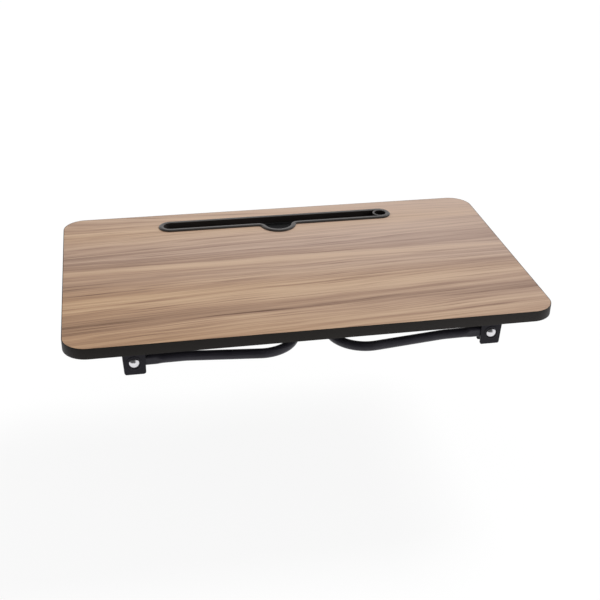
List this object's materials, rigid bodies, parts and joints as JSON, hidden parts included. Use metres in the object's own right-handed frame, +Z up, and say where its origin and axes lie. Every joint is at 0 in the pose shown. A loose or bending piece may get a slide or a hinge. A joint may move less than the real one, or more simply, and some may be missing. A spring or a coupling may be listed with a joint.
{
  "type": "bed tray",
  "caption": "Folding bed tray: wood-effect board with a moulded tablet groove and pen hole, on bent-tube legs that fold flat under it.",
  "frame": {"origin": "the middle of the folded tray's footprint, on the flat surface that its four brackets stand on", "axes": "+X along the board's length towards the pen hole, +Y towards the long edge with the tablet groove, +Z up through the board's top"},
  "size_m": [0.6, 0.36, 0.0482],
  "materials": {
    "fibreboard": "raw pressed fibreboard",
    "wood_laminate": "satin printed wood-grain laminate",
    "dark_backing": "matte backing laminate",
    "black_edge_band": "matte plastic edge band",
    "black_moulding": "satin moulded plastic",
    "black_painted_steel": "black powder-coated pressed steel",
    "black_gloss_steel": "gloss black enamelled steel tube",
    "bright_nickel": "bright nickel plate",
    "zinc_plated_steel": "zinc plate",
    "black_rubber": "matte ribbed rubber"
  },
  "bodies": {
    "tray": {"board_core": "fibreboard", "top_laminate": "wood_laminate", "bottom_laminate": "dark_backing", "edge_band": "black_edge_band", "slot_insert": "black_moulding", "front_left_bracket": "black_painted_steel", "front_right_bracket": "black_painted_steel", "rear_left_bracket": "black_painted_steel", "rear_right_bracket": "black_painted_steel", "front_left_rivet": "bright_nickel", "front_right_rivet": "bright_nickel", "rear_left_rivet": "bright_nickel", "rear_right_rivet": "bright_nickel", "front_left_screw_a": "zinc_plated_steel", "front_left_screw_b": "zinc_plated_steel", "front_right_screw_a": "zinc_plated_steel", "front_right_screw_b": "zinc_plated_steel", "rear_left_screw_a": "zinc_plated_steel", "rear_left_screw_b": "zinc_plated_steel", "rear_right_screw_a": "zinc_plated_steel", "rear_right_screw_b": "zinc_plated_steel"},
    "left_leg": {"left_leg": "black_gloss_steel", "left_leg_front_sleeve": "black_rubber", "left_leg_rear_sleeve": "black_rubber"},
    "right_leg": {"right_leg": "black_gloss_steel", "right_leg_front_sleeve": "black_rubber", "right_leg_rear_sleeve": "black_rubber"}
  },
  "joints": [
    {"name": "left_leg_hinge", "type": "hinge", "parent": "tray", "child": "left_leg", "pos_m": [-0.219, 0, 0.0155], "axis": [0, 1, 0], "range_deg": [-1.8, 103]},
    {"name": "right_leg_hinge", "type": "hinge", "parent": "tray", "child": "right_leg", "pos_m": [0.219, 0, 0.0155], "axis": [0, -1, 0], "range_deg": [-2.9, 101.9]}
  ]
}
